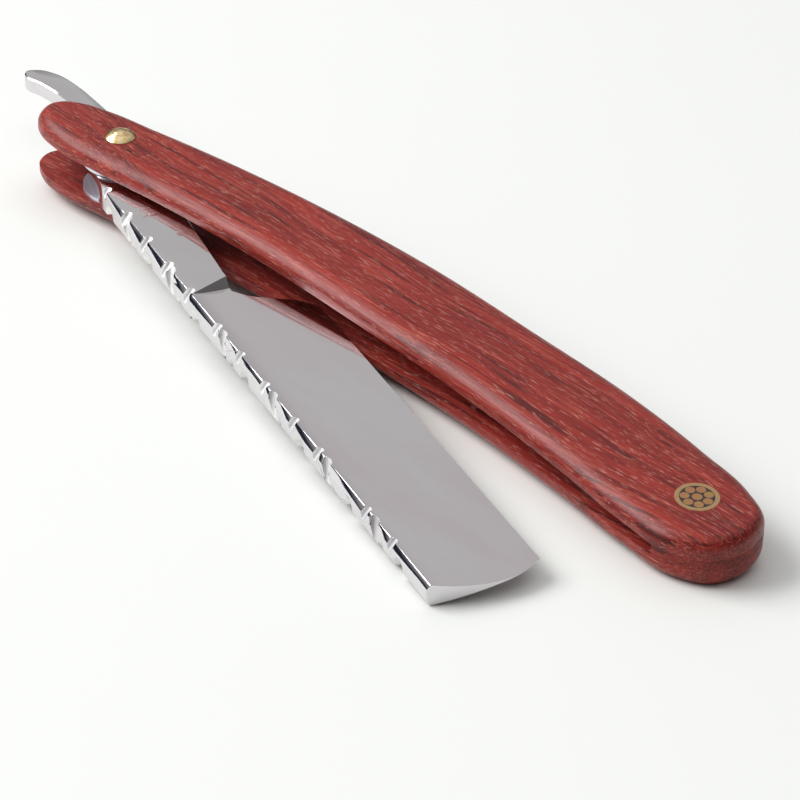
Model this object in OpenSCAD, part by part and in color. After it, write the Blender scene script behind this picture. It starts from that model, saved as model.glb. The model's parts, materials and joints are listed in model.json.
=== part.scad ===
// Straight razor, half open. Millimetres, +Z up, +X along the handle from the
// pivot to the butt. The origin is in the middle of the flat outer face of the
// lower scale, halfway between the two pins. The pivot pin stands along Z.

/* [Handle] */
// Distance between the pivot pin and the mosaic pin
pin_spacing = 123; // [121:0.5:126]
// Thickness of one wooden scale
scale_t = 3.2; // [2.6:0.1:4]
// Gap between the scales at the pivot
gap_pivot = 6.2; // [6:0.1:7]
// Gap between the scales at the mosaic pin
gap_butt = 1.8; // [1.4:0.1:2.2]
// Straight part of the scale's edge, below the rounding
edge_wall = 0.9; // [0.6:0.1:1.5]
// Width of the rounding on the scale's outer edge
edge_round = 4; // [2:0.25:4.25]

/* [Blade] */
// Angle of the blade from the handle's centre line, as it lies open
open_angle = 16.6; // [10:0.2:120]
// Thickness of the tang and shank
tang_t = 4.2; // [3.6:0.1:4.4]
// Thickness of the spine at the toe
toe_t = 3.4; // [3:0.1:4]
// Thickness of the tail at its tip
tail_t = 2.7; // [2:0.1:3]
// Thickness left at the cutting edge
edge_t = 0.1; // [0.05:0.05:0.3]
// Radius of the wheel that the blade was hollow-ground on
wheel_r = 55; // [45:1:90]
// Height of the flat along the middle of the spine
spine_flat = 2; // [1.6:0.1:2.4]
// Depth of the bevels above and below the spine's flat
spine_bevel = 0.7; // [0.3:0.1:0.9]

/* [Spine filework] */
// Radius of the file that cut the ticks
tick_r = 0.7; // [0.5:0.05:0.9]
// Radius of the file that cut the leaves
leaf_r = 1; // [0.7:0.05:1.2]
// Radius of the file that cut the scallops
scallop_r = 1.7; // [1.2:0.05:2]

/* [Pivot] */
// Diameter of the brass pivot rod
pin_d = 1.6; // [1.4:0.1:2]
// Radial clearance of the tang on the rod
pin_clear = 0.05; // [0.02:0.01:0.1]
// Diameter of the domed collars
collar_d = 4.8; // [4:0.1:6]
// Height of the domed collars
collar_h = 0.75; // [0.5:0.05:1]
// Diameter of the peened heads
head_d = 2.3; // [2:0.1:3]
// Height of the peened heads
head_h = 0.35; // [0.2:0.05:0.6]
// Diameter of the washers beside the tang
washer_d = 12; // [9:0.5:12.5]
// Thickness of the washers beside the tang
washer_t = 0.8; // [0.6:0.05:0.85]

/* [Mosaic pin] */
// Outer diameter of the brass tube
tube_d = 6.35; // [5:0.05:7]
// Wall of the brass tube
tube_wall = 0.65; // [0.4:0.05:0.8]
// Diameter of the rods in the ring
rod_d = 1.4; // [1:0.05:1.4]
// Diameter of the middle rod
core_d = 1.5; // [1:0.05:1.6]
// Resin between the ring of rods and the tube
rod_gap = 0.08; // [0.05:0.01:0.1]

/* [Hidden] */

rod_count = 7;
curve_steps = 5;
round_steps = 6;
far = 200;

// The scales lean together from the pivot to the butt. mid_y and mid_z place
// the pivot's centre, halfway between the scales, from which the rest is measured.
flare = atan((gap_pivot - gap_butt) / 2 / pin_spacing);
mid_y = 4.6;
mid_z = (gap_pivot + gap_butt) / 4 + scale_t / cos(flare);
outer_z = gap_pivot / 2 + scale_t / cos(flare);
washer_z = (tang_t + gap_pivot) / 4;
collar_z = outer_z + collar_d / 2 * tan(flare);

wood = "#9c2f2a";
brass = "#d2b478";
bronze = "#b9855a";
steel = "#c8c8ca";

// Points of a handle scale's outline, round from the pivot end along the front
handle_pts = [
    [-16, -1.6], [-14.9, -4.4], [-12.2, -6], [-8, -6.8], [2, -6.3], [15, -4.9], [33, -3.8],
    [60, -4], [85, -5], [104, -7], [117, -8.8], [126.5, -9], [131.5, -6.2],
    [133.3, -1.2], [131.6, 4.6], [126, 7.7], [115, 10], [100, 11.9],
    [80, 12.7], [57, 13.2], [38, 12.2], [18, 9.9], [2, 7.1], [-8, 4.9],
    [-12.4, 3.2], [-15, 1.1]
];

// The rounding of a scale narrows to these shares over its last stretch at each end
tip_share = 0.55;
butt_share = 0.4;
end_run = 16;

// The slot ends on a slanted line, so the toe clears the wedge
slot_end_x = 119.1;
slot_end_slant = 22;

// Points of the blade's outline: spine, tail, tang and heel, edge, toe
spine_y = -6.4;
edge_y = 11.5;
spine_pts = [
    [117, spine_y + 0.1], [100, spine_y], [78, spine_y], [58, spine_y + 0.2], [40, spine_y],
    [28, spine_y - 0.1], [16, spine_y], [6, -5.8], [-2, -4.4], [-10, -2.2], [-18, -0.2],
    [-23, -0.6], [-28, -1.9], [-31.4, -3.2], [-32.9, -2.6], [-32.4, -0.4],
    [-29.6, 1.9], [-25, 3.3], [-19, 4], [-12, 4.5], [-4, 4.8], [4, 4.5],
    [12, 3.4], [21, 2.2], [30, 1.5], [37.2, 0.9]
];
heel_pts = [[39.4, 0.9], [41.4, 3], [43, 6], [45, 9.2], [47.3, 11], [50.5, edge_y]];
toe_pts = [[116.3, edge_y], [118, 8], [118.6, 3], [118.1, -2], [117, spine_y + 0.1]];

// Places of the file cuts along the spine, from the pivot
tick_at = [7.3, 15.2, 22.9, 30.6, 38.5, 48.6, 56.6, 65, 74.8, 82.8, 98, 106];
leaf_at = [15.9, 32.2, 50.8, 68, 85.6, 100.6];
scallop_at = [9.6, 25.2, 42, 58.9, 78, 93.3, 108.7];
low_tick_at = [20, 36.5, 54.5, 71, 88.5, 103.5];

// Shoulder: the line where the hollow grinding stops, and how its wall leans
shoulder_a = [40, -7];
shoulder_b = [37.2, 1.2];
shoulder_lean = 40;

// A smooth curve through points, with tangents weighted by their spacing.
// A closed curve joins its ends; an open one stops at its last point.
function slope_at(p, i, closed) =
    let (
        n = len(p),
        a = closed ? p[(i + n - 1) % n] : p[max(i - 1, 0)],
        b = closed ? p[(i + 1) % n] : p[min(i + 1, n - 1)],
        da = max(norm(p[i] - a), 0.001),
        db = max(norm(b - p[i]), 0.001)
    )
    a == p[i] ? (b - p[i]) / db
    : b == p[i] ? (p[i] - a) / da
    : ((b - p[i]) / db * da + (p[i] - a) / da * db) / (da + db);

function on_curve(p, i, t, closed) =
    let (
        a = p[i],
        b = p[(i + 1) % len(p)],
        d = norm(b - a),
        ma = slope_at(p, i, closed) * d,
        mb = slope_at(p, (i + 1) % len(p), closed) * d
    )
    (2 * pow(t, 3) - 3 * pow(t, 2) + 1) * a + (pow(t, 3) - 2 * pow(t, 2) + t) * ma
    + (3 * pow(t, 2) - 2 * pow(t, 3)) * b + (pow(t, 3) - pow(t, 2)) * mb;

function smooth(p, closed = false) = [
    for (i = [0 : len(p) - (closed ? 1 : 2)])
        for (k = [0 : curve_steps - 1])
            on_curve(p, i, k / curve_steps, closed)
];

// How much of its full width the rounding has at x
butt_x = max([for (p = handle_pts) p[0]]);
function round_share(x) = min(
    1,
    tip_share + (1 - tip_share) * (x - handle_pts[0][0]) / end_run,
    butt_share + (1 - butt_share) * (butt_x - x) / end_run
);

// The scale's outline moved inwards along its normals, by d where the rounding is full
function inset(p, d) = [
    for (i = [0 : len(p) - 1])
        let (
            n = len(p),
            run = p[(i + 1) % n] - p[(i + n - 1) % n]
        )
        p[i] + d * round_share(p[i][0]) * [-run[1], run[0]] / norm(run)
];

function half_gap(x) = gap_pivot / 2 - x * tan(flare);

handle_outline = smooth(handle_pts, closed = true);
blade_outline = concat(
    smooth(spine_pts), [spine_pts[len(spine_pts) - 1]],
    smooth(heel_pts), [heel_pts[len(heel_pts) - 1]],
    smooth(toe_pts)
);

module at_pivot() {
    translate([-pin_spacing / 2, -mid_y, mid_z])
        children();
}

module at_mosaic_pin() {
    translate([pin_spacing, 0, 0])
        children();
}

// A solid of the side view drawn in X and Z, as wide as the whole razor
module side_view(points) {
    rotate([90, 0, 0])
        linear_extrude(height = far, center = true)
            polygon(points);
}

// Everything between the outer faces of the two scales
module between_outer_faces() {
    near = half_gap(-far / 4) + scale_t / cos(flare);
    end = half_gap(far) + scale_t / cos(flare);
    side_view([[-far / 4, near], [far, end], [far, -end], [-far / 4, -near]]);
}

// One scale lying on its flat inner face, with its outer edge rounded over
module scale_blank() {
    n = len(handle_outline);
    rings = concat(
        [[for (p = handle_outline) [p[0], p[1], 0]]],
        [for (k = [0 : round_steps])
            let (
                a = 90 * k / round_steps,
                z = edge_wall + (scale_t - edge_wall) * sin(a)
            )
            [for (p = inset(handle_outline, edge_round * (1 - cos(a)))) [p[0], p[1], z]]
        ]
    );
    last = len(rings) - 1;
    sides = [
        for (k = [0 : last - 1])
            for (i = [0 : n - 1])
                [k * n + i, (k + 1) * n + i, (k + 1) * n + (i + 1) % n, k * n + (i + 1) % n]
    ];
    polyhedron(
        points = [for (ring = rings) each ring],
        faces = concat([[for (i = [0 : n - 1]) i]], sides, [[for (i = [n - 1 : -1 : 0]) last * n + i]]),
        convexity = 4
    );
}

module scale_half() {
    difference() {
        translate([0, 0, gap_pivot / 2])
            rotate([0, flare, 0])
                scale_blank();
        cylinder(h = far, d = pin_d, center = true, $fn = 48);
        at_mosaic_pin()
            cylinder(h = far, d = tube_d, center = true, $fn = 64);
    }
}

module scale_upper() {
    color(wood)
        at_pivot()
            scale_half();
}

module scale_lower() {
    color(wood)
        at_pivot()
            mirror([0, 0, 1])
                scale_half();
}

module wedge() {
    x0 = slot_end_x - 10;
    x1 = slot_end_x + 20;
    color(wood)
        at_pivot()
            difference() {
                intersection() {
                    linear_extrude(height = gap_pivot, center = true)
                        polygon(handle_outline);
                    side_view([
                        [x0, half_gap(x0)], [x1, half_gap(x1)],
                        [x1, -half_gap(x1)], [x0, -half_gap(x0)]
                    ]);
                    translate([slot_end_x, 0, 0])
                        rotate([0, 0, slot_end_slant])
                            translate([0, -far / 2, -far / 2])
                                cube(far);
                }
                at_mosaic_pin()
                    cylinder(h = far, d = tube_d, center = true, $fn = 64);
            }
}

// The blade as forged: its outline, its thickness along the length, and the
// bevels on both sides of the spine's flat
module blade_blank() {
    half = tang_t / 2;
    front = spine_y - 0.1;
    intersection() {
        linear_extrude(height = tang_t, center = true)
            polygon(blade_outline);
        side_view([
            [-34, tail_t / 2], [-24, tail_t / 2 + 0.1], [-9, half], [42, half], [120, toe_t / 2],
            [120, -toe_t / 2], [42, -half], [-9, -half], [-24, -tail_t / 2 - 0.1], [-34, -tail_t / 2]
        ]);
        rotate([90, 0, 90])
            linear_extrude(height = far * 2, center = true)
                polygon([
                    [front, spine_flat / 2], [front + spine_bevel, half], [far, half],
                    [far, -half], [front + spine_bevel, -half], [front, -spine_flat / 2]
                ]);
    }
}

// What the grinding wheel takes off the upper side, from the shoulder on
module hollow() {
    a = [spine_y + spine_bevel, tang_t / 2];
    b = [edge_y, edge_t / 2];
    chord = b - a;
    rise = sqrt(pow(wheel_r, 2) - pow(norm(chord) / 2, 2));
    centre = (a + b) / 2 + rise * [-chord[1], chord[0]] / norm(chord);
    line = shoulder_b - shoulder_a;
    intersection() {
        translate([0, centre[0], centre[1]])
            rotate([0, 90, 0])
                cylinder(h = far, r = wheel_r, $fn = 180);
        translate([shoulder_a[0], shoulder_a[1], tang_t / 2])
            rotate([0, 0, atan2(line[1], line[0]) - 90])
                rotate([0, -shoulder_lean, 0])
                    translate([0, -far / 4, -far / 2])
                        cube([far, far / 2, far]);
    }
}

// A round file's groove whose deepest line runs from a to b
module groove(a, b, r) {
    along = b - a;
    unit = along / norm(along);
    away = [0, -1, 0] + (unit[1]) * unit;
    axis = a + r * away / norm(away);
    translate(axis)
        rotate([0, acos(unit[2]), atan2(unit[1], unit[0])])
            translate([0, 0, -2])
                cylinder(h = norm(along) + 4, r = r, $fn = 32);
}

module filework() {
    top = tang_t / 2;
    for (x = tick_at)
        groove([x - 0.1, spine_y - 0.1, -0.2], [x + 0.1, spine_y + 1.6, top], tick_r);
    for (x = leaf_at)
        groove([x + 1.9, spine_y + 0.1, -1.5], [x, spine_y + 1.3, top], leaf_r);
    for (x = scallop_at)
        groove([x, spine_y + 2.2, -top], [x, spine_y, 0.7], scallop_r);
    for (x = low_tick_at)
        groove([x, spine_y + 1.6, -top], [x, spine_y, -0.2], tick_r);
}

module blade() {
    color(steel)
        at_pivot()
            rotate([0, 0, -open_angle])
                difference() {
                    blade_blank();
                    hollow();
                    mirror([0, 0, 1])
                        hollow();
                    filework();
                    cylinder(h = far, d = pin_d + 2 * pin_clear, center = true, $fn = 48);
                }
}

// A spherical cap of a given foot and height, standing on z = 0
module cap(d, h) {
    r = (pow(d / 2, 2) + pow(h, 2)) / (2 * h);
    intersection() {
        translate([0, 0, h - r])
            sphere(r = r, $fn = 64);
        cylinder(h = h, d = d, $fn = 64);
    }
}

module pivot_pin() {
    color(brass)
        at_pivot() {
            cylinder(h = 2 * (collar_z + collar_h), d = pin_d, center = true, $fn = 48);
            for (side = [0, 1])
                mirror([0, 0, side])
                    translate([0, 0, collar_z + collar_h])
                        cap(head_d, head_h);
        }
}

// The dome is flat on top, where the pin is peened over it
module collar() {
    translate([0, 0, collar_z])
        difference() {
            intersection() {
                cap(collar_d, collar_h * 1.35);
                cylinder(h = collar_h, d = collar_d, $fn = 64);
            }
            cylinder(h = far, d = pin_d, center = true, $fn = 48);
        }
}

module pivot_collar_upper() {
    color(brass)
        at_pivot()
            collar();
}

module pivot_collar_lower() {
    color(brass)
        at_pivot()
            mirror([0, 0, 1])
                collar();
}

module tang_washer() {
    translate([0, 0, washer_z])
        difference() {
            cylinder(h = washer_t, d = washer_d, center = true, $fn = 96);
            cylinder(h = far, d = pin_d, center = true, $fn = 48);
        }
}

module tang_washer_upper() {
    color("#dfe3ee")
        at_pivot()
            tang_washer();
}

module tang_washer_lower() {
    color("#dfe3ee")
        at_pivot()
            mirror([0, 0, 1])
                tang_washer();
}

// A round bar through the butt, finished flush with both outer faces
module flush_bar(d, fn = 48) {
    cylinder(h = far / 4, d = d, center = true, $fn = fn);
}

module at_rod(index) {
    ring_r = (tube_d - rod_d) / 2 - tube_wall - rod_gap;
    rotate([0, 0, index * 360 / rod_count + 12])
        translate([ring_r, 0, 0])
            children();
}

module in_butt() {
    at_pivot()
        intersection() {
            at_mosaic_pin()
                children();
            between_outer_faces();
        }
}

module mosaic_tube() {
    color(brass)
        in_butt()
            difference() {
                flush_bar(tube_d, 64);
                flush_bar(tube_d - 2 * tube_wall, 64);
            }
}

module mosaic_resin() {
    color("#2a1d16")
        in_butt()
            difference() {
                flush_bar(tube_d - 2 * tube_wall, 64);
                flush_bar(core_d);
                for (i = [1 : rod_count])
                    at_rod(i)
                        flush_bar(rod_d);
            }
}

module mosaic_core_rod() {
    color(bronze)
        in_butt()
            flush_bar(core_d);
}

module mosaic_rod(index) {
    color(bronze)
        in_butt()
            at_rod(index)
                flush_bar(rod_d);
}

blade();
scale_upper();
scale_lower();
wedge();
pivot_pin();
pivot_collar_upper();
pivot_collar_lower();
tang_washer_upper();
tang_washer_lower();
mosaic_tube();
mosaic_resin();
mosaic_core_rod();
mosaic_rod(1);  // mosaic_rod_1
mosaic_rod(2);  // mosaic_rod_2
mosaic_rod(3);  // mosaic_rod_3
mosaic_rod(4);  // mosaic_rod_4
mosaic_rod(5);  // mosaic_rod_5
mosaic_rod(6);  // mosaic_rod_6
mosaic_rod(7);  // mosaic_rod_7
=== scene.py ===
"""A straight razor, lying half open: a hollow-ground blade between two buffed padauk scales."""

import json
import math

import bmesh
import bpy
from mathutils import Matrix, Vector

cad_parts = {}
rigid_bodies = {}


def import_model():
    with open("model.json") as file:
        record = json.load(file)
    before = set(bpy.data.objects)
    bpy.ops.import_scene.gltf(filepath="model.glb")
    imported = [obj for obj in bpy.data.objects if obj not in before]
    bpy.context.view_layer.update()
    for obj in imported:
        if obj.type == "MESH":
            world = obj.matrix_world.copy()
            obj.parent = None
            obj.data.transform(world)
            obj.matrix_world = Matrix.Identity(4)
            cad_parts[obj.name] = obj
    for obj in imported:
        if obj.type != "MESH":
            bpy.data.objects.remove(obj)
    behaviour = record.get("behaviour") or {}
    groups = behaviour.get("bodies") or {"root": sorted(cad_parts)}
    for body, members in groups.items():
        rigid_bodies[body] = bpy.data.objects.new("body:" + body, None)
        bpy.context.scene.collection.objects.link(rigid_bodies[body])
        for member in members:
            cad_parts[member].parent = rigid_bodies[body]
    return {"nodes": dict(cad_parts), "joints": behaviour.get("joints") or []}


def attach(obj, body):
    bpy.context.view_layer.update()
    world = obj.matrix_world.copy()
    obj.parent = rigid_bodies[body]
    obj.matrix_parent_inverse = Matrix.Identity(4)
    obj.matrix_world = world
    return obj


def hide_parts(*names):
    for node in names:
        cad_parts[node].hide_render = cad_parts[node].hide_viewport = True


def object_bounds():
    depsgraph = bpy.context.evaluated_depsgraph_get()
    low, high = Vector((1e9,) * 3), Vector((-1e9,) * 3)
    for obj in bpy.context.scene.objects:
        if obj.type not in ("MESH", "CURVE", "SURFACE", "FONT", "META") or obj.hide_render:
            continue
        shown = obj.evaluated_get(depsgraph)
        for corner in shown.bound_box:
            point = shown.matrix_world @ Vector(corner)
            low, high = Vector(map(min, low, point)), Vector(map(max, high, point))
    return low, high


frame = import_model()
cad_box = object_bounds()

bl_info = {
    "name": "Straight Razor",
    "version": (1, 0, 0),
    "blender": (4, 5, 0),
    "location": "3D View > Sidebar > Razor",
    "description": "Builds the scales, blade and fittings of a straight razor around its working frame",
    "category": "Object",
}

MM = 0.001
PIVOT = Vector(frame["joints"][0]["pos_m"])
# The razor lies on its lower pivot head, its butt and its toe, so the table leans this way
TABLE_UP = Vector((-0.02356, 0.0795, 0.99656))


def linear(hex_colour):
    """An sRGB hex colour as linear red, green and blue."""
    parts = [int(hex_colour[i:i + 2], 16) / 255 for i in (1, 3, 5)]
    return [p / 12.92 if p <= 0.04045 else ((p + 0.055) / 1.055) ** 2.4 for p in parts]


def length_property(name, description, millimetres):
    """A length that is written in millimetres and kept in metres."""
    return bpy.props.FloatProperty(
        name=name, description=description, default=millimetres * MM, unit="LENGTH", precision=5
    )


def colour_property(name, description, hex_colour):
    """A colour that is written as sRGB hex and kept linear."""
    return bpy.props.FloatVectorProperty(
        name=name, description=description, default=linear(hex_colour), subtype="COLOR", size=3,
        min=0, max=1,
    )


class HandleSizes(bpy.types.PropertyGroup):
    """Sizes of the two scales and the wedge."""

    pin_spacing: length_property("Pin spacing", "From the pivot pin to the mosaic pin", 123)
    thickness: length_property("Thickness", "Thickness of one scale", 3.2)
    gap_pivot: length_property("Gap at pivot", "Between the scales at the pivot", 6.2)
    gap_butt: length_property("Gap at butt", "Between the scales at the mosaic pin", 1.8)
    edge_wall: length_property("Edge wall", "Upright part of the outer edge", 0.9)
    edge_round: length_property("Edge rounding", "Width of the rounding on the outer edge", 4)
    inner_ease: length_property("Inner easing", "Sanding of the inner corners", 0.04)
    pin_bore: length_property("Pivot bore", "Diameter of the pivot bore", 1.64)
    mosaic_bore: length_property("Mosaic bore", "Diameter of the mosaic pin's bore", 6.37)
    slot_end: length_property("Slot end", "From the pivot to the front of the wedge", 119.1)
    slot_slant: bpy.props.FloatProperty(
        name="Slot slant", description="Slant of the wedge's front", default=math.radians(22),
        subtype="ANGLE",
    )


class BladeSizes(bpy.types.PropertyGroup):
    """Sizes of the blade."""

    open_angle: bpy.props.FloatProperty(
        name="Open angle", description="From the handle's centre line to the blade",
        default=math.radians(16.6), subtype="ANGLE",
    )
    tang: length_property("Tang", "Thickness of the tang and shank", 4.2)
    toe: length_property("Toe", "Thickness of the spine at the toe", 3.4)
    tail: length_property("Tail", "Thickness of the tail's tip", 2.7)
    edge: length_property("Edge", "Thickness left at the cutting edge", 0.1)
    wheel: length_property("Wheel", "Radius of the wheel that ground the hollow", 55)
    spine_flat: length_property("Spine flat", "Height of the flat along the spine", 2)
    spine_bevel: length_property("Spine bevel", "Depth of the bevels beside that flat", 0.7)
    bore: length_property("Bore", "Diameter of the tang's bore", 1.7)
    tick: length_property("Tick file", "Radius of the file that cut the ticks", 0.7)
    leaf: length_property("Leaf file", "Radius of the file that cut the leaves", 1.0)
    scallop: length_property("Scallop file", "Radius of the file that cut the scallops", 1.7)
    ease: length_property("Eased edges", "Width of the rounding on the blade's edges", 0.1)
    tail_ease: length_property("Eased tail", "Width of the rounding on the tail's edges", 0.5)


class Colours(bpy.types.PropertyGroup):
    """Colours of the materials."""

    heartwood: colour_property("Heartwood", "Ground colour of the padauk", "#741812")
    heartwood_light: colour_property("Light wood", "Lighter bands of the padauk", "#92261C")
    streak: colour_property("Streaks", "Pale streaks along the grain", "#B85545")
    vein: colour_property("Veins", "Dark lines along the grain", "#420B08")
    # Painted highlight: the pale colour at the pores stands for the glint they catch in the sheen
    pore_glint: colour_property("Pores", "Pores that hold a little pale polish", "#CF8A7A")
    steel: colour_property("Steel", "Polished carbon steel", "#D8D6D8")
    # Painted reflection: the hollow's pinkish steel stands for the red scales it mirrors
    steel_pink_reflection: colour_property("Steel, warmer", "Polished steel of the hollow", "#D6CFD1")
    # Painted reflection: a slightly darker, pinker steel that stands for the red scales mirrored
    # faintly
    steel_faint_pink: colour_property("Steel, cooler", "Polished steel where it is cooler", "#D3D0D2")
    # Painted highlight: the file cuts are near white to stand for the softbox they mirror
    file_cut_glint: colour_property("File cuts", "Steel left bright by the file", "#F6F6F5")
    brass: colour_property("Brass", "Polished brass", "#E6CFA0")
    brass_dull: colour_property("Dull brass", "Brass in the hollows", "#B9975F")
    brass_aged: colour_property("Aged brass", "Brass tube that has browned", "#C4A27C")
    copper: colour_property("Copper", "Sanded copper rod", "#C08A66")
    resin: colour_property("Resin", "Dark casting resin", "#24160F")
    # Painted reflection: the washer's pale lavender-blue stands for the sky it mirrors
    washer: colour_property("Washer", "Polished washer steel", "#D9DCEA")
    table: colour_property("Table", "Matt white table", "#F1F3F0")


class Studio(bpy.types.PropertyGroup):
    """The camera and the light."""

    azimuth: bpy.props.FloatProperty(
        name="Azimuth", description="Side from which the camera looks", subtype="ANGLE",
        default=math.radians(-44.38),
    )
    elevation: bpy.props.FloatProperty(
        name="Elevation", description="Height of the camera's view", subtype="ANGLE",
        default=math.radians(35.09),
    )
    roll: bpy.props.FloatProperty(
        name="Roll", description="Lean of the camera", subtype="ANGLE", default=math.radians(1.48)
    )
    distance: length_property("Distance", "From the camera to the razor", 557)
    lens: bpy.props.FloatProperty(
        name="Lens", description="Focal length in millimetres", default=173.7
    )
    aim: bpy.props.FloatVectorProperty(
        name="Aim", description="Point that the camera looks at", subtype="TRANSLATION",
        default=(0.0130, -0.0149, 0.005),
    )
    softbox_power: bpy.props.FloatProperty(
        name="Softbox", description="Power of the softbox", default=24.0, subtype="POWER"
    )
    room: bpy.props.FloatProperty(
        name="Room", description="Strength of the light from the room", default=0.62
    )


# ---------------------------------------------------------------- outlines

# Outline of a scale, in millimetres from the pivot, round from the pivot end along the front
HANDLE = [
    (-16, -1.6), (-14.9, -4.4), (-12.2, -6), (-8, -6.8), (2, -6.3), (15, -4.9), (33, -3.8),
    (60, -4), (85, -5), (104, -7), (117, -8.8), (126.5, -9), (131.5, -6.2),
    (133.3, -1.2), (131.6, 4.6), (126, 7.7), (115, 10), (100, 11.9),
    (80, 12.7), (57, 13.2), (38, 12.2), (18, 9.9), (2, 7.1), (-8, 4.9),
    (-12.4, 3.2), (-15, 1.1),
]

# The rounding of a scale narrows to these shares over its last millimetres at each end
TIP_SHARE = 0.55
BUTT_SHARE = 0.4
END_RUN = 16

# Outline of the blade, in millimetres from the pivot, with the blade along X
SPINE_Y = -6.4
EDGE_Y = 11.5
SPINE = [
    (117, SPINE_Y + 0.1), (100, SPINE_Y), (78, SPINE_Y), (58, SPINE_Y + 0.2), (40, SPINE_Y),
    (28, SPINE_Y - 0.1), (16, SPINE_Y), (6, -5.8), (-2, -4.4), (-10, -2.2), (-18, -0.2),
    (-23, -0.6), (-28, -1.9), (-31.4, -3.2), (-32.9, -2.6), (-32.4, -0.4),
    (-29.6, 1.9), (-25, 3.3), (-19, 4), (-12, 4.5), (-4, 4.8), (4, 4.5),
    (12, 3.4), (21, 2.2), (30, 1.5), (37.2, 0.9),
]
HEEL = [(39.4, 0.9), (41.4, 3), (43, 6), (45, 9.2), (47.3, 11), (50.5, EDGE_Y)]
TOE = [(116.3, EDGE_Y), (118, 8), (118.6, 3), (118.1, -2), (117, SPINE_Y + 0.1)]

# File cuts, in millimetres along the spine from the pivot
TICKS = [7.3, 15.2, 22.9, 30.6, 38.5, 48.6, 56.6, 65, 74.8, 82.8, 98, 106]
LEAVES = [15.9, 32.2, 50.8, 68, 85.6, 100.6]
SCALLOPS = [9.6, 25.2, 42, 58.9, 78, 93.3, 108.7]
LOW_TICKS = [20, 36.5, 54.5, 71, 88.5, 103.5]

# The line where the grinding stops, and how far its wall leans
SHOULDER_A = Vector((40, -7))
SHOULDER_B = Vector((37.2, 1.2))
SHOULDER_LEAN = math.radians(40)


# Points that each stretch of an outline is drawn with
HANDLE_STEPS = 12
SPINE_STEPS = 8
END_STEPS = 6

# Steps across the sanded inner corner, the outer rounding and the wheel's arc
INNER_STEPS = 3
ROUND_STEPS = 18
WHEEL_STEPS = 72

# A face whose normal is at least this upright counts as level
LEVEL = 0.95

# An edge of the blade sharper than this many degrees stays crisp or is eased
CREASE = 24


def smooth(points, steps, closed=False):
    """A smooth curve through points, with tangents weighted by their spacing."""
    points = [Vector(p) for p in points]
    count = len(points)

    def slope(i):
        before = points[(i - 1) % count] if closed or i > 0 else None
        after = points[(i + 1) % count] if closed or i < count - 1 else None
        back = (points[i] - before) if before is not None else None
        on = (after - points[i]) if after is not None else None
        if back is None:
            return on / on.length
        if on is None:
            return back / back.length
        return (on / on.length * back.length + back / back.length * on.length) / (
            back.length + on.length
        )

    curve = []
    for i in range(count if closed else count - 1):
        a, b = points[i], points[(i + 1) % count]
        reach = (b - a).length
        slope_a = slope(i) * reach
        slope_b = slope((i + 1) % count) * reach
        for k in range(steps):
            t = k / steps
            curve.append(
                (2 * t ** 3 - 3 * t ** 2 + 1) * a + (t ** 3 - 2 * t ** 2 + t) * slope_a
                + (3 * t ** 2 - 2 * t ** 3) * b + (t ** 3 - t ** 2) * slope_b
            )
    if not closed:
        curve.append(points[-1])
    return curve


def handle_outline():
    """The smooth outline of a scale in metres, round from the pivot end."""
    return smooth([Vector(p) * MM for p in HANDLE], HANDLE_STEPS, closed=True)


def inset(points, distance):
    """A scale's outline moved inwards along its normals, less so near both ends."""
    moved = []
    for i, point in enumerate(points):
        run = points[(i + 1) % len(points)] - points[i - 1]
        past_tip = (point.x / MM - HANDLE[0][0]) / END_RUN
        to_butt = (max(p[0] for p in HANDLE) - point.x / MM) / END_RUN
        share = min(
            1, TIP_SHARE + (1 - TIP_SHARE) * past_tip, BUTT_SHARE + (1 - BUTT_SHARE) * to_butt
        )
        moved.append(point + distance * share * Vector((-run.y, run.x)) / run.length)
    return moved


# ---------------------------------------------------------------- meshes

def new_piece(name, mesh):
    """An object that holds mesh, in the scene."""
    piece = bpy.data.objects.new(name, mesh)
    bpy.context.scene.collection.objects.link(piece)
    return piece


def ring_mesh(name, rings, holes=()):
    """A closed mesh that passes through rings of points, with flat ends.

    Each hole is a pair of circles, one that lies in the first end and one in the last.
    """
    whole = bmesh.new()
    loops = [[whole.verts.new(point) for point in ring] for ring in rings]
    for near, far in zip(loops, loops[1:]):
        for i in range(len(near)):
            j = (i + 1) % len(near)
            whole.faces.new((near[i], near[j], far[j], far[i]))
    ends = [[loops[0]], [loops[-1]]]
    for first, last in holes:
        near = [whole.verts.new(point) for point in first]
        far = [whole.verts.new(point) for point in last]
        for i in range(len(near)):
            j = (i + 1) % len(near)
            whole.faces.new((far[i], far[j], near[j], near[i]))
        ends[0].append(near)
        ends[1].append(far)
    for end in ends:
        edges = [whole.edges.get((loop[i - 1], loop[i])) for loop in end for i in range(len(loop))]
        bmesh.ops.triangle_fill(whole, use_beauty=True, use_dissolve=False, edges=edges)
    bmesh.ops.recalc_face_normals(whole, faces=whole.faces)
    mesh = bpy.data.meshes.new(name)
    whole.to_mesh(mesh)
    whole.free()
    return mesh


def circle(centre, radius, sides=96):
    """Points round a circle that lies level."""
    turns = [2 * math.pi * i / sides for i in range(sides)]
    return [centre + radius * Vector((math.cos(t), math.sin(t))) for t in turns]


def rod_mesh(name, start, end, radius, sides=48):
    """A round rod from start to end."""
    along = (end - start).normalized()
    turn = along.to_track_quat("Z", "Y").to_matrix()
    section = [
        turn @ Vector((radius * math.cos(2 * math.pi * i / sides),
                       radius * math.sin(2 * math.pi * i / sides), 0))
        for i in range(sides)
    ]
    return ring_mesh(name, [[start + p for p in section], [end + p for p in section]])


def combine(piece, tool_mesh, operation):
    """Cuts piece with a tool, or keeps what they share. New faces take the tool's material."""
    tool = new_piece("tool", tool_mesh)
    step = piece.modifiers.new("combine", "BOOLEAN")
    step.operation = operation
    step.solver = "EXACT"
    step.object = tool
    step.material_mode = "TRANSFER"
    apply_modifiers(piece)
    bpy.data.objects.remove(tool)
    bpy.data.meshes.remove(tool_mesh)


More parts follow.
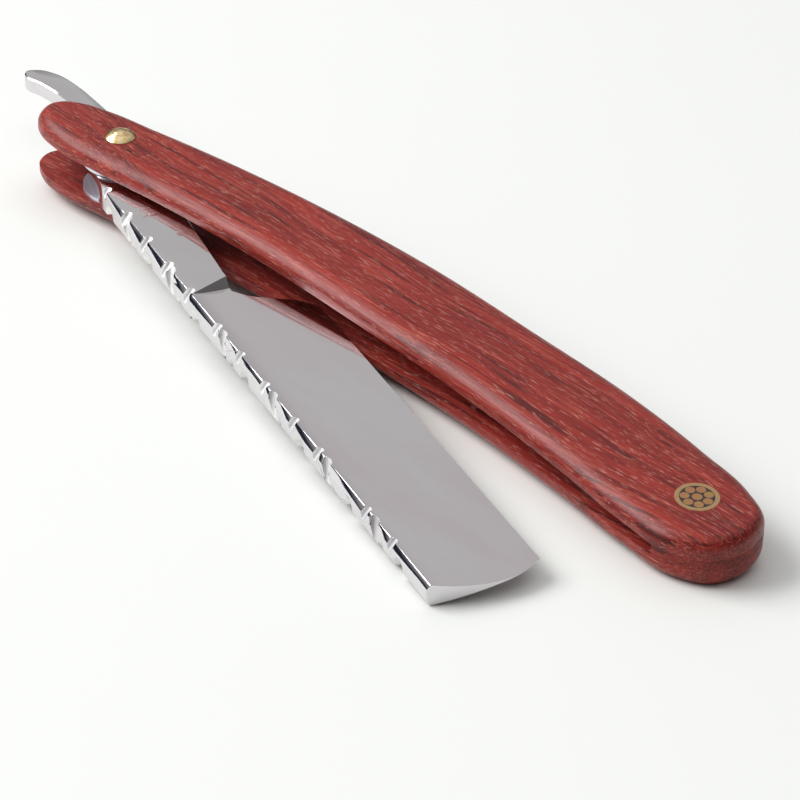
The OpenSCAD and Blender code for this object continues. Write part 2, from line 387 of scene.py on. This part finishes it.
def apply_modifiers(piece):
    """Turns what the modifiers make into the piece's own mesh."""
    bpy.context.view_layer.update()
    graph = bpy.context.evaluated_depsgraph_get()
    made = bpy.data.meshes.new_from_object(piece.evaluated_get(graph))
    old = piece.data
    piece.modifiers.clear()
    piece.data = made
    bpy.data.meshes.remove(old)


def shade(piece, angle):
    """Smooth shading that keeps edges sharper than angle crisp."""
    piece.data.shade_smooth()
    piece.data.set_sharp_from_angle(angle=math.radians(angle))


def finish_piece(piece, body, slot, *nodes):
    """The piece moves with body and stands for the nodes, which it hides; slot is not used."""
    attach(piece, body)
    if nodes:
        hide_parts(*nodes)


# ---------------------------------------------------------------- materials

def add(tree, kind, inputs=None, **settings):
    """Adds a node: settings are its own, and inputs are values or the sockets that feed it."""
    made = tree.nodes.new(kind)
    for key, value in settings.items():
        setattr(made, key, value)
    for key, value in (inputs or {}).items():
        if isinstance(value, bpy.types.NodeSocket):
            tree.links.new(value, made.inputs[key])
        else:
            made.inputs[key].default_value = value
    return made


def new_material(name):
    """An empty material with its output, and the tree that holds them."""
    material = bpy.data.materials.new(name)
    material.use_nodes = True
    material.node_tree.nodes.clear()
    return material, material.node_tree


def rgba(colour):
    """A linear colour with full alpha."""
    return (*colour, 1.0)


def give(piece, material):
    """The piece wears one material all over."""
    piece.data.materials.clear()
    piece.data.materials.append(material)


def grain(tree, length, width, warp=None, **settings):
    """A noise drawn out along the scale: grain marks of this length and width in millimetres."""
    place = add(tree, "ShaderNodeTexCoord").outputs["Object"]
    if warp is not None:
        place = add(tree, "ShaderNodeVectorMath", {0: place, 1: warp}, operation="ADD").outputs[0]
    mapped = add(
        tree, "ShaderNodeMapping",
        {"Vector": place, "Scale": (1 / (length * MM), 1 / (width * MM), 1 / (width * MM))},
    )
    return add(
        tree, "ShaderNodeTexNoise",
        {"Vector": mapped.outputs[0], "Scale": 1.0, **settings},
    ).outputs["Fac"]


def window(tree, value, low, high, top=1.0):
    """Zero below low, rising to top at high."""
    return add(
        tree, "ShaderNodeMapRange",
        {"Value": value, "From Min": low, "From Max": high, "To Min": 0.0, "To Max": top},
    ).outputs[0]


def blend_colour(tree, factor, a, b):
    """Colour a where factor is 0, b where it is 1."""
    mixed = add(tree, "ShaderNodeMix", {"Factor": factor, "A": a, "B": b}, data_type="RGBA")
    return mixed.outputs["Result"]


def padauk(colours, name, roughness, coat, dark):
    """Padauk: coarse red heartwood, sanded along the grain, oiled and buffed.

    The eye gets long red and pale streaks, thin dark veins and open pores that run with the
    scale, under a soft sheen that the pores break up. The pale flecks at the pores are a painted
    highlight, the glint they catch, and dark multiplies the colour down as painted shade.
    """
    material, tree = new_material(name)
    place = add(tree, "ShaderNodeTexCoord").outputs["Object"]
    # The grain wanders by about a millimetre over a few centimetres
    drift_scale = (1 / (38 * MM), 1 / (14 * MM), 1 / (14 * MM))
    drift_place = add(tree, "ShaderNodeMapping", {"Vector": place, "Scale": drift_scale})
    drift = add(
        tree, "ShaderNodeTexNoise",
        {"Vector": drift_place.outputs[0], "Scale": 1.0, "Detail": 1.0},
    )
    centred = add(
        tree, "ShaderNodeVectorMath", {0: drift.outputs["Color"], 1: (0.5, 0.5, 0.5)},
        operation="SUBTRACT",
    )
    warp = add(
        tree, "ShaderNodeVectorMath", {0: centred.outputs[0], 1: (0.0, 5 * MM, 5 * MM)},
        operation="MULTIPLY",
    ).outputs[0]
    bands = grain(tree, 48, 2.6, warp, Detail=3.0, Roughness=0.55)
    streaks = grain(tree, 14, 0.45, warp, Detail=3.0, Roughness=0.6)
    veins = grain(tree, 26, 0.8, warp, Detail=2.0, Roughness=0.5, Distortion=0.4)
    fibres = grain(tree, 7, 0.22, warp, Detail=2.0, Roughness=0.7)
    pores = grain(tree, 1.9, 0.2, warp, Detail=1.0, Roughness=0.4)

    ground = blend_colour(
        tree, window(tree, bands, 0.38, 0.62), rgba(colours.heartwood), rgba(colours.heartwood_light)
    )
    streaked = blend_colour(
        tree, window(tree, streaks, 0.5, 0.76, 0.75), ground, rgba(colours.streak)
    )
    veined = blend_colour(tree, window(tree, veins, 0.55, 0.68, 0.85), streaked, rgba(colours.vein))
    pore_mask = window(tree, pores, 0.62, 0.7)
    # The pores themselves are real and sunk by the bump below; their pale colour is a painted highlight
    glint_flecked = blend_colour(
        tree, window(tree, pore_mask, 0.0, 1.0, 0.45), veined, rgba(colours.pore_glint)
    )
    # Painted shade: the colour is multiplied by dark, 0.95 on the scales' inner faces and 0.8 on the
    # wedge, which lie in shade between the scales
    shaded = add(
        tree, "ShaderNodeMix",
        {"Factor": 1.0, "A": glint_flecked, "B": (dark, dark, dark, 1.0)},
        data_type="RGBA", blend_type="MULTIPLY",
    ).outputs["Result"]

    height = add(
        tree, "ShaderNodeMath", {0: fibres, 1: window(tree, pore_mask, 0.0, 1.0, 0.9)},
        operation="SUBTRACT",
    ).outputs[0]
    relief = add(
        tree, "ShaderNodeBump",
        {"Strength": 0.6, "Distance": 0.07 * MM, "Height": height},
    ).outputs[0]
    rough = add(
        tree, "ShaderNodeMapRange",
        {"Value": fibres, "From Min": 0.3, "From Max": 0.7,
         "To Min": roughness - 0.06, "To Max": roughness + 0.1},
    ).outputs[0]
    shader = add(
        tree, "ShaderNodeBsdfPrincipled",
        {"Base Color": shaded, "Roughness": rough, "Normal": relief, "IOR": 1.5,
         "Specular IOR Level": 0.3, "Coat Weight": coat, "Coat Roughness": 0.25},
    )
    add(tree, "ShaderNodeOutputMaterial", {"Surface": shader.outputs[0]})
    return material


def steel(light, dark, name, roughness, streak_length, streak_width, relief_depth):
    """Carbon steel: mirror polished, or left bright from the file.

    The eye gets the room in it, very slightly broken by fine polishing lines.
    """
    material, tree = new_material(name)
    cloud = grain(tree, 22, 7, None, Detail=2.0)
    lines = grain(tree, streak_length, streak_width, None, Detail=2.0, Roughness=0.6)
    # The cloud mixes light and dark in blotches: on the blade this is a faint painted reflection of the
    # red scales
    tint = blend_colour(
        tree, window(tree, cloud, 0.35, 0.65), rgba(light), rgba(dark)
    )
    rough = add(
        tree, "ShaderNodeMapRange",
        {"Value": lines, "From Min": 0.25, "From Max": 0.75,
         "To Min": roughness * 0.75, "To Max": roughness * 1.35},
    ).outputs[0]
    relief = add(
        tree, "ShaderNodeBump",
        {"Strength": 0.1, "Distance": relief_depth * MM, "Height": lines},
    ).outputs[0]
    shader = add(
        tree, "ShaderNodeBsdfPrincipled",
        {"Base Color": tint, "Metallic": 1.0, "Roughness": rough, "Normal": relief},
    )
    add(tree, "ShaderNodeOutputMaterial", {"Surface": shader.outputs[0]})
    return material


def soft_metal(name, bright, dull, roughness, mark):
    """Brass or copper: turned or drawn, then sanded and polished by hand.

    The eye gets a warm sheen with small uneven marks and duller hollows.
    """
    material, tree = new_material(name)
    cloud = grain(tree, 0.9, 0.9, None, Detail=3.0, Roughness=0.6)
    marks = grain(tree, mark * 4, mark, None, Detail=2.0)
    tint = blend_colour(tree, window(tree, cloud, 0.4, 0.7), rgba(bright), rgba(dull))
    rough = add(
        tree, "ShaderNodeMapRange",
        {"Value": cloud, "From Min": 0.3, "From Max": 0.7,
         "To Min": roughness * 0.8, "To Max": roughness * 1.4},
    ).outputs[0]
    relief = add(
        tree, "ShaderNodeBump", {"Strength": 0.25, "Distance": 0.03 * MM, "Height": marks}
    ).outputs[0]
    shader = add(
        tree, "ShaderNodeBsdfPrincipled",
        {"Base Color": tint, "Metallic": 1.0, "Roughness": rough, "Normal": relief},
    )
    add(tree, "ShaderNodeOutputMaterial", {"Surface": shader.outputs[0]})
    return material


def resin_sanded(colours):
    """Casting resin, poured round the rods and sanded flush: dark, with a faint satin haze."""
    material, tree = new_material("casting_resin_sanded")
    cloud = grain(tree, 0.5, 0.5, None, Detail=3.0)
    lifted = tuple(c * 2.2 for c in colours.resin)
    tint = blend_colour(tree, window(tree, cloud, 0.35, 0.7), rgba(colours.resin), rgba(lifted))
    rough = add(
        tree, "ShaderNodeMapRange",
        {"Value": cloud, "From Min": 0.3, "From Max": 0.7, "To Min": 0.28, "To Max": 0.45},
    ).outputs[0]
    shader = add(
        tree, "ShaderNodeBsdfPrincipled", {"Base Color": tint, "Roughness": rough, "IOR": 1.55}
    )
    add(tree, "ShaderNodeOutputMaterial", {"Surface": shader.outputs[0]})
    return material


# ---------------------------------------------------------------- pieces

def quarter_turn(steps):
    """Angles from 0 to 90 degrees, in equal steps."""
    return [math.radians(90 * k / steps) for k in range(steps + 1)]


def flare(sizes):
    """Lean of each scale's inner face."""
    return math.atan((sizes.gap_pivot - sizes.gap_butt) / 2 / sizes.pin_spacing)


def scale_mesh(sizes, side):
    """One scale, drilled for both pins. Side is 1 for the upper and -1 for the lower."""
    outline = handle_outline()
    # The edge in section, from the inner face out, as (distance in from the outline, height)
    profile = []
    for a in quarter_turn(INNER_STEPS):
        profile.append((sizes.inner_ease * (1 - math.sin(a)), sizes.inner_ease * (1 - math.cos(a))))
    for a in quarter_turn(ROUND_STEPS):
        profile.append((
            sizes.edge_round * (1 - math.cos(a)),
            sizes.edge_wall + (sizes.thickness - sizes.edge_wall) * math.sin(a),
        ))
    turn = Matrix.Rotation(flare(sizes), 3, "Y")

    def place(x, y, height):
        lifted = turn @ Vector((x, y, height)) + Vector((0, 0, sizes.gap_pivot / 2))
        return Vector((lifted.x, lifted.y, side * lifted.z)) + PIVOT

    def pierce(at, height):
        """The point straight above or below a point of the plan, at a height in the scale."""
        x = (at.x - height * math.sin(flare(sizes))) / math.cos(flare(sizes))
        return place(x, at.y, height)

    rings = [[place(p.x, p.y, height) for p in inset(outline, distance)]
             for distance, height in profile]
    holes = []
    for at, diameter in ((0.0, sizes.pin_bore), (sizes.pin_spacing, sizes.mosaic_bore)):
        ring = circle(Vector((at, 0)), diameter / 2)
        holes.append([[pierce(p, height) for p in ring] for height in (0.0, sizes.thickness)])
    return ring_mesh("scale", rings, holes)


class RAZOR_OT_scales(bpy.types.Operator):
    """Makes the upper and the lower scale, rounded over and drilled for both pins"""

    bl_idname = "razor.scales"
    bl_label = "Scales"

    def execute(self, context):
        sizes = context.scene.razor_handle
        outer = padauk(context.scene.razor_colours, "padauk_oiled_and_buffed", 0.33, 0.08, 1.0)
        # Its last argument darkens the inner faces a little: painted shade between the scales; the
        # higher roughness is the real sawn finish
        inner = padauk(context.scene.razor_colours, "padauk_sawn_painted_shade", 0.6, 0.0, 0.95)
        for name, side in (("scale_upper", 1), ("scale_lower", -1)):
            piece = new_piece(f"{name}_wood", scale_mesh(sizes, side))
            piece.data.materials.append(outer)
            piece.data.materials.append(inner)
            for face in piece.data.polygons:
                if face.normal.z * side < -LEVEL:
                    face.material_index = 1
            shade(piece, 50)
            finish_piece(piece, "handle", "red_wood", name)
        return {"FINISHED"}


class RAZOR_OT_wedge(bpy.types.Operator):
    """Makes the wedge that the scales are glued and pinned to at the butt"""

    bl_idname = "razor.wedge"
    bl_label = "Wedge"

    def execute(self, context):
        sizes = context.scene.razor_handle
        lean = math.tan(flare(sizes))
        outline = handle_outline()
        slope = math.tan(sizes.slot_slant)
        kept = [p for p in outline if p.x + p.y * slope > sizes.slot_end]
        start = outline.index(kept[0])
        while outline[start - 1] in kept:
            start -= 1
        kept = [outline[(start + i) % len(outline)] for i in range(len(kept))]
        hole = circle(Vector((sizes.pin_spacing, 0)), sizes.mosaic_bore / 2)
        ends = [
            [
                [PIVOT + Vector((p.x, p.y, share * (sizes.gap_pivot / 2 - p.x * lean))) for p in loop]
                for loop in (kept, hole)
            ]
            for share in (-1, 1)
        ]
        rings = [end[0] for end in ends]
        piece = new_piece("wedge_wood", ring_mesh("wedge", rings, [[end[1] for end in ends]]))
        # The 0.8 darkens the wedge: painted shade between the scales
        give(piece, padauk(context.scene.razor_colours, "padauk_wedge_painted_shade", 0.45, 0.0, 0.8))
        shade(piece, 50)
        finish_piece(piece, "handle", "red_wood", "wedge")
        return {"FINISHED"}


def blade_outline():
    """The blade's outline in metres, round from the toe's spine corner."""
    curve = smooth(SPINE, SPINE_STEPS) + smooth(HEEL, END_STEPS) + smooth(TOE, END_STEPS)[:-1]
    return [p * MM for p in curve]


def prism(name, points, place):
    """A solid whose two ends are the outline points, each put in place for -1 and 1."""
    return ring_mesh(name, [[place(p, side) for p in points] for side in (-1, 1)])


def forged_blank(sizes):
    """The blade before grinding: its outline, its taper and the bevelled spine."""
    # Metres, well past the blade on every side
    far = 0.2
    half = sizes.tang / 2
    piece = new_piece("blade_steel", prism(
        "blank", blade_outline(), lambda p, side: Vector((p.x, p.y, side * half))
    ))
    tip = sizes.tail / 2
    taper = [(-34, tip), (-24, tip + 0.1 * MM), (-9, half), (42, half), (120, sizes.toe / 2)]
    upper = [Vector((x * MM, z)) for x, z in taper]
    side_view = upper + [Vector((p.x, -p.y)) for p in reversed(upper)]
    combine(piece, prism(
        "taper", side_view, lambda p, side: Vector((p.x, side * far, p.y))
    ), "INTERSECT")
    front = (SPINE_Y - 0.1) * MM
    rings = []
    for x, z in [(-far, half), taper[3], taper[4], (far, sizes.toe / 2)]:
        # A hair more than the blade's own thickness, so that no two faces lie in one plane
        z = z * 1.002
        flat = z - (half - sizes.spine_flat / 2)
        bevel = front + sizes.spine_bevel
        section = [(front, flat), (bevel, z), (far, z), (far, -z), (bevel, -z), (front, -flat)]
        rings.append([Vector((x if abs(x) == far else x * MM, y, height)) for y, height in section])
    combine(piece, ring_mesh("section", rings), "INTERSECT")
    return piece


def hollow_mesh(sizes, side):
    """What the wheel takes off one side, from the shoulder to past the toe."""
    a, b, centre = wheel_centre(sizes)
    start = math.atan2(a.y - centre.y, a.x - centre.x)
    end = math.atan2(b.y - centre.y, b.x - centre.x)
    # The arc runs on past the blade at both ends, so that it cuts clean through
    spare = 0.06
    arc = []
    for k in range(WHEEL_STEPS + 1):
        t = start + (end - start) * (-spare + (1 + 2 * spare) * k / WHEEL_STEPS)
        arc.append(centre + sizes.wheel * Vector((math.cos(t), math.sin(t))))
    top = sizes.tang
    section = arc + [Vector((arc[-1].x, top)), Vector((arc[0].x, top))]
    line = SHOULDER_B - SHOULDER_A
    thinner = (sizes.tang - sizes.toe) / 2

    past_toe = 0.12

    def place(p, end_of):
        if end_of > 0:
            # The cut deepens towards the toe with the taper, but not at the edge
            drop = thinner * ((b.x - p.x) / (b.x - a.x)) ** 3
            return Vector((past_toe, p.x, side * (p.y - drop)))
        along = (p.x / MM - SHOULDER_A.y) / line.y
        at_top = (SHOULDER_A.x + line.x * along) * MM
        depth = sizes.tang / 2 - p.y
        return Vector((at_top + depth * math.tan(SHOULDER_LEAN), p.x, side * p.y))

    return prism("hollow", section, place)


def wheel_centre(sizes):
    """Where the axis of the grinding wheel lies, across the blade and above its middle."""
    a = Vector((SPINE_Y * MM + sizes.spine_bevel, sizes.tang / 2))
    b = Vector((EDGE_Y * MM, sizes.edge / 2))
    chord = b - a
    rise = math.sqrt(sizes.wheel ** 2 - (chord.length / 2) ** 2)
    return a, b, (a + b) / 2 + rise * Vector((-chord.y, chord.x)).normalized()


def true_hollow(mesh, sizes, ground):
    """Gives the faces of the ground material the wheel's own normals, so that they mirror cleanly."""
    centre = wheel_centre(sizes)[2]
    normals = [Vector(corner.vector) for corner in mesh.corner_normals]
    for face in mesh.polygons:
        side = 1 if face.center.z > 0 else -1
        if face.material_index != ground or face.normal.z * side < LEVEL:
            continue
        for corner, index in zip(face.loop_indices, face.vertices):
            y = mesh.vertices[index].co.y
            fall = math.sqrt(sizes.wheel ** 2 - (centre.x - y) ** 2)
            normals[corner] = Vector((0, centre.x - y, side * fall)).normalized()
    mesh.normals_split_custom_set(normals)


def groove_mesh(start, end, radius):
    """A round file's cut whose deepest line runs from start to end, in millimetres."""
    start, end = Vector(start), Vector(end)
    unit = (end - start).normalized()
    away = Vector((0, -1, 0)) + unit.y * unit
    shift = start + radius / MM * away.normalized()
    reach = 2.0
    return rod_mesh(
        "groove", (shift - reach * unit) * MM, (shift + (end - start) + reach * unit) * MM, radius, 40
    )


class RAZOR_OT_blade(bpy.types.Operator):
    """Grinds the hollow blade and files its spine"""

    bl_idname = "razor.blade"
    bl_label = "Blade"

    def execute(self, context):
        sizes = context.scene.razor_blade
        colours = context.scene.razor_colours
        # Its second colour gives faint blotches of painted reflection of the red scales
        polished = steel(
            colours.steel, colours.steel_faint_pink, "carbon_steel_mirror_polished_painted_pink", 0.06, 9, 0.3, 0.004
        )
        # The file cuts' near-white colour is a painted highlight of the softbox; their higher roughness
        # is the real filed finish
        filed = steel(
            colours.file_cut_glint, colours.steel, "carbon_steel_file_cut", 0.45, 0.5, 0.08, 0.02
        )
        piece = forged_blank(sizes)
        give(piece, polished)
        # The hollow's pink tint is a painted reflection of the red scales
        ground = steel(
            colours.steel_pink_reflection, colours.steel, "carbon_steel_hollow_ground_painted_pink", 0.07, 14, 0.4, 0.003
        )
        for side in (1, -1):
            tool = hollow_mesh(sizes, side)
            tool.materials.append(ground)
            combine(piece, tool, "DIFFERENCE")
        top = sizes.tang / 2 / MM
        # Each cut is the start and end of its deepest line, and the file's radius
        cuts = []
        for x in TICKS:
            cuts.append(((x - 0.1, SPINE_Y - 0.1, -0.2), (x + 0.1, SPINE_Y + 1.6, top), sizes.tick))
        for x in LEAVES:
            cuts.append(((x + 1.9, SPINE_Y + 0.1, -1.5), (x, SPINE_Y + 1.3, top), sizes.leaf))
        for x in SCALLOPS:
            cuts.append(((x, SPINE_Y + 2.2, -top), (x, SPINE_Y, 0.7), sizes.scallop))
        for x in LOW_TICKS:
            cuts.append(((x, SPINE_Y + 1.6, -top), (x, SPINE_Y, -0.2), sizes.tick))
        for start, end, radius in cuts:
            tool = groove_mesh(start, end, radius)
            tool.materials.append(filed)
            combine(piece, tool, "DIFFERENCE")
        reach = Vector((0, 0, 0.02))
        drill = rod_mesh("drill", -reach, reach, sizes.bore / 2)
        drill.materials.append(polished)
        combine(piece, drill, "DIFFERENCE")
        self.ease(piece, sizes)
        shade(piece, CREASE)
        true_hollow(piece.data, sizes, piece.data.materials.find(ground.name))
        piece.data.transform(
            Matrix.Translation(PIVOT) @ Matrix.Rotation(-sizes.open_angle, 4, "Z")
        )
        finish_piece(piece, "blade", "polished_steel", "blade")
        return {"FINISHED"}

    def ease(self, piece, sizes):
        """Rounds the corners of the tail, shank and spine, the tail's the most."""
        whole = bmesh.new()
        whole.from_mesh(piece.data)
        weight = whole.edges.layers.float.new("bevel_weight_edge")
        for edge in whole.edges:
            middle = (edge.verts[0].co + edge.verts[1].co) / 2 / MM
            if len(edge.link_faces) != 2 or edge.calc_face_angle() < math.radians(CREASE):
                continue
            if middle.x < -4:
                edge[weight] = 1.0
            elif middle.x < SHOULDER_B.x - 1 or middle.y < SPINE_Y + 0.9:
                edge[weight] = sizes.ease / sizes.tail_ease
        whole.to_mesh(piece.data)
        whole.free()
        ease = piece.modifiers.new("ease", "BEVEL")
        ease.width = sizes.tail_ease
        ease.segments = 3
        ease.limit_method = "WEIGHT"
        ease.use_clamp_overlap = False
        apply_modifiers(piece)


class RAZOR_OT_fittings(bpy.types.Operator):
    """Finishes the pivot's brass, the washers and the mosaic pin"""

    bl_idname = "razor.fittings"
    bl_label = "Fittings"

    def execute(self, context):
        colours = context.scene.razor_colours
        brass = soft_metal("brass_turned_and_polished", colours.brass, colours.brass_dull, 0.2, 0.25)
        tube = soft_metal("brass_tube_sanded", colours.brass_aged, colours.brass_dull, 0.4, 0.1)
        copper = soft_metal("copper_rod_sanded", colours.copper, colours.brass_dull, 0.35, 0.1)
        # The washer's blue tint is a painted reflection of the sky
        washer = steel(
            colours.washer, colours.steel, "washer_steel_polished_painted_sky", 0.4, 2, 0.1, 0.01
        )
        resin = resin_sanded(colours)
        for name, node in frame["nodes"].items():
            if name in ("pivot_pin", "pivot_collar_upper", "pivot_collar_lower"):
                give(node, brass)
            elif name.startswith("tang_washer"):
                give(node, washer)
            elif name == "mosaic_tube":
                give(node, tube)
            elif name == "mosaic_resin":
                give(node, resin)
            elif name.startswith("mosaic"):
                give(node, copper)
        return {"FINISHED"}


# ---------------------------------------------------------------- stage

# Half the table's side and the softbox's sides and distance, in metres
TABLE_HALF = 2.5
SOFTBOX_SIZE = (1.2, 0.9)
SOFTBOX_DISTANCE = 1.6
SOFTBOX_SIDE = (-0.6, -0.42, 0.68)

# The room as the razor mirrors it, and the plain white that the camera sees
ROOM_PALE_SIDE = (-0.82, 0.18, 0.54)
ROOM_LEFT = (1.0, 0.985, 0.99, 1.0)
ROOM_RIGHT = "#3A3533"
ROOM_HORIZON = "#33374A"
ROOM_CEILING = (1.6, 1.6, 1.6, 1.0)
ROOM_SEEN = "#F3F4F1"


def table_height():
    """How far the table lies from the origin, along its own normal, to touch the razor.

    It looks at every mesh in the scene, so it runs before the table is there.
    """
    lowest = math.inf
    for piece in bpy.context.scene.objects:
        if piece.type == "MESH":
            lowest = min(lowest, min((piece.matrix_world @ v.co).dot(TABLE_UP)
                                     for v in piece.data.vertices))
    return lowest


def table_material(colours):
    """Matt white card, spray painted: even and pale, with no shine of its own."""
    material, tree = new_material("card_painted_matt_white")
    mottle = grain(tree, 60, 60, None, Detail=2.0)
    darker = tuple(c * 0.985 for c in colours.table)
    tint = blend_colour(tree, mottle, rgba(colours.table), rgba(darker))
    shader = add(tree, "ShaderNodeBsdfPrincipled", {"Base Color": tint, "Roughness": 0.55})
    add(tree, "ShaderNodeOutputMaterial", {"Surface": shader.outputs[0]})
    return material


class RAZOR_OT_stage(bpy.types.Operator):
    """Sets the table, the light and the camera"""

    bl_idname = "razor.stage"
    bl_label = "Stage"

    def execute(self, context):
        studio = context.scene.razor_studio
        colours = context.scene.razor_colours
        centre = sum(cad_box, Vector()) / 2

        # Table
        height = table_height()
        mesh = bpy.data.meshes.new("table")
        half = TABLE_HALF
        mesh.from_pydata(
            [(-half, -half, 0), (half, -half, 0), (half, half, 0), (-half, half, 0)],
            [], [(0, 1, 2, 3)],
        )
        table = new_piece("table", mesh)
        lean = TABLE_UP.to_track_quat("Z", "Y").to_matrix().to_4x4()
        table.matrix_world = Matrix.Translation(TABLE_UP * height) @ lean
        give(table, table_material(colours))

        # Softbox, high on the left of the camera
        light = bpy.data.lights.new("softbox", "AREA")
        light.shape = "RECTANGLE"
        light.size, light.size_y = SOFTBOX_SIZE
        light.energy = studio.softbox_power
        box = bpy.data.objects.new("softbox", light)
        context.scene.collection.objects.link(box)
        away = Vector(SOFTBOX_SIDE).normalized()
        box.location = centre + away * SOFTBOX_DISTANCE
        box.rotation_euler = away.to_track_quat("Z", "Y").to_euler()

        self.room_light(context, studio)

        # Camera
        camera = bpy.data.objects.new("camera", bpy.data.cameras.new("camera"))
        context.scene.collection.objects.link(camera)
        camera.data.lens = studio.lens
        camera.data.clip_start = 0.01
        towards = Vector((
            math.cos(studio.elevation) * math.cos(studio.azimuth),
            math.cos(studio.elevation) * math.sin(studio.azimuth),
            math.sin(studio.elevation),
        ))
        level = Vector((-math.sin(studio.azimuth), math.cos(studio.azimuth), 0))
        upright = towards.cross(level)
        turn = Matrix((level, upright, towards)).transposed()
        turn = turn @ Matrix.Rotation(studio.roll, 3, "Z")
        camera.matrix_world = (
            Matrix.Translation(Vector(studio.aim) + towards * studio.distance) @ turn.to_4x4()
        )
        context.scene.camera = camera
        context.scene.view_settings.view_transform = "Standard"
        return {"FINISHED"}

    def room_light(self, context, studio):
        """A pale room, darker towards the horizon; the camera itself sees white."""
        world = bpy.data.worlds.new("room")
        context.scene.world = world
        world.use_nodes = True
        tree = world.node_tree
        tree.nodes.clear()
        direction = add(tree, "ShaderNodeTexCoord").outputs["Generated"]
        height = add(tree, "ShaderNodeSeparateXYZ", {0: direction}).outputs["Z"]
        leftward = add(
            tree, "ShaderNodeVectorMath", {0: direction, 1: ROOM_PALE_SIDE},
            operation="DOT_PRODUCT",
        ).outputs["Value"]
        pale = blend_colour(
            tree, window(tree, leftward, -0.3, 0.35), rgba(linear(ROOM_RIGHT)), ROOM_LEFT
        )
        low = blend_colour(tree, window(tree, height, 0.1, 0.34), rgba(linear(ROOM_HORIZON)), pale)
        whole = blend_colour(tree, window(tree, height, 0.7, 0.97), low, ROOM_CEILING)
        seen = add(tree, "ShaderNodeBackground", {"Color": rgba(linear(ROOM_SEEN))})
        lit = add(tree, "ShaderNodeBackground", {"Color": whole, "Strength": studio.room})
        camera_ray = add(tree, "ShaderNodeLightPath").outputs["Is Camera Ray"]
        both = add(
            tree, "ShaderNodeMixShader", {0: camera_ray, 1: lit.outputs[0], 2: seen.outputs[0]}
        )
        add(tree, "ShaderNodeOutputWorld", {"Surface": both.outputs[0]})


class RAZOR_PT_panel(bpy.types.Panel):
    """Lists the razor's pieces and its stage"""

    bl_idname = "RAZOR_PT_panel"
    bl_label = "Straight Razor"
    bl_space_type = "VIEW_3D"
    bl_region_type = "UI"
    bl_category = "Razor"

    def draw(self, context):
        for operator in OPERATORS:
            self.layout.operator(operator.bl_idname)
        for group in GROUPS:
            settings = getattr(context.scene, group)
            box = self.layout.box()
            for name in settings.__annotations__:
                box.prop(settings, name)


OPERATORS = (RAZOR_OT_scales, RAZOR_OT_wedge, RAZOR_OT_blade, RAZOR_OT_fittings, RAZOR_OT_stage)
GROUPS = {
    "razor_handle": HandleSizes,
    "razor_blade": BladeSizes,
    "razor_colours": Colours,
    "razor_studio": Studio,
}


def register():
    for cls in (*GROUPS.values(), *OPERATORS, RAZOR_PT_panel):
        bpy.utils.register_class(cls)
    for name, group in GROUPS.items():
        setattr(bpy.types.Scene, name, bpy.props.PointerProperty(type=group))


def unregister():
    for name in GROUPS:
        delattr(bpy.types.Scene, name)
    for cls in reversed((*GROUPS.values(), *OPERATORS, RAZOR_PT_panel)):
        bpy.utils.unregister_class(cls)


def main():
    """Makes the whole razor and its stage."""
    register()
    bpy.ops.razor.scales()
    bpy.ops.razor.wedge()
    bpy.ops.razor.blade()
    bpy.ops.razor.fittings()
    bpy.ops.razor.stage()


if __name__ == "__main__":
    main()
